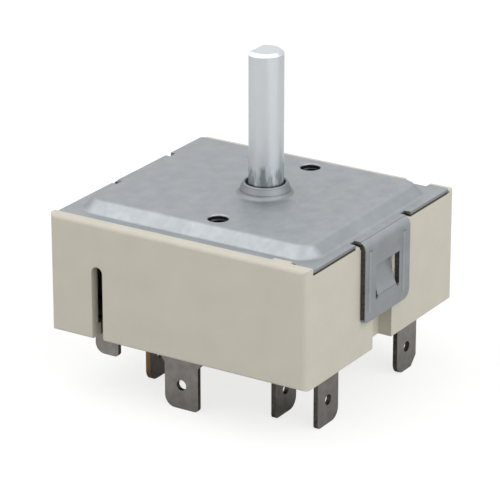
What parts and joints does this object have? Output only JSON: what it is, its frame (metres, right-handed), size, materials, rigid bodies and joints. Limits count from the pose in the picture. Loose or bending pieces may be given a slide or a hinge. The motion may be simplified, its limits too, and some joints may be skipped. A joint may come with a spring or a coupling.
{
  "type": "cooktop energy regulator",
  "caption": "Box-shaped rotary energy regulator for a cooktop zone, with a beige moulded body, a clipped steel cover, a D-shaft and push-on terminal tabs below.",
  "frame": {"origin": "on the shaft axis, in the plane of the raised mounting face of the cover plate", "axes": "+Z out along the shaft, +X along the long side towards the end that lies nearer to the shaft, +Y towards the back"},
  "size_m": [0.0502, 0.0464, 0.0559],
  "materials": {
    "moulded_body": "matte",
    "zinc_plate": "satin",
    "plated_shaft": "satin",
    "spring_steel": "satin",
    "cam_moulding": "matte",
    "zinc_lever": "matte",
    "brass_screw": "satin",
    "bimetal": "satin",
    "ceramic_core": "matte",
    "resistance_wire": "matte",
    "contact_spring": "satin",
    "silver_contact": "satin",
    "tab_steel": "satin"
  },
  "bodies": {
    "base": {"housing": "moulded_body", "cover_plate": "zinc_plate", "spring_washer": "spring_steel", "lever_pin": "spring_steel", "bimetal_carrier": "spring_steel", "compensating_bimetal": "bimetal", "working_bimetal": "bimetal", "bimetal_rivets": "brass_screw", "heater_core": "ceramic_core", "heater_winding": "resistance_wire", "push_button": "ceramic_core", "snap_spring": "contact_spring", "snap_contact_moving": "silver_contact", "snap_contact_fixed": "silver_contact", "switch_spring_right": "contact_spring", "switch_spring_front": "contact_spring", "switch_contacts_moving": "silver_contact", "switch_contacts_fixed": "silver_contact", "spring_rivets": "brass_screw", "detent_spring": "spring_steel", "terminal_signal": "tab_steel", "terminal_left": "tab_steel", "terminal_front": "tab_steel", "terminal_inner": "tab_steel", "terminal_right_front": "tab_steel", "terminal_right_back": "tab_steel"},
    "rotor": {"shaft": "plated_shaft", "control_cam": "cam_moulding"},
    "lever": {"regulating_lever": "zinc_lever", "calibration_screw": "brass_screw"}
  },
  "joints": [
    {"name": "shaft_turn", "type": "hinge", "parent": "base", "child": "rotor", "pos_m": [0, 0, 0], "axis": [0, 0, 1], "range_deg": [-320, 0]},
    {"name": "lever_turn", "type": "hinge", "parent": "base", "child": "lever", "pos_m": [-0.0136, 0.008, -0.0049], "axis": [0, 0, 1], "range_deg": [-9.6, 0]}
  ],
  "couplings": [
    {"joint": "lever_turn", "follows": "shaft_turn", "ratio": 0.03}
  ]
}
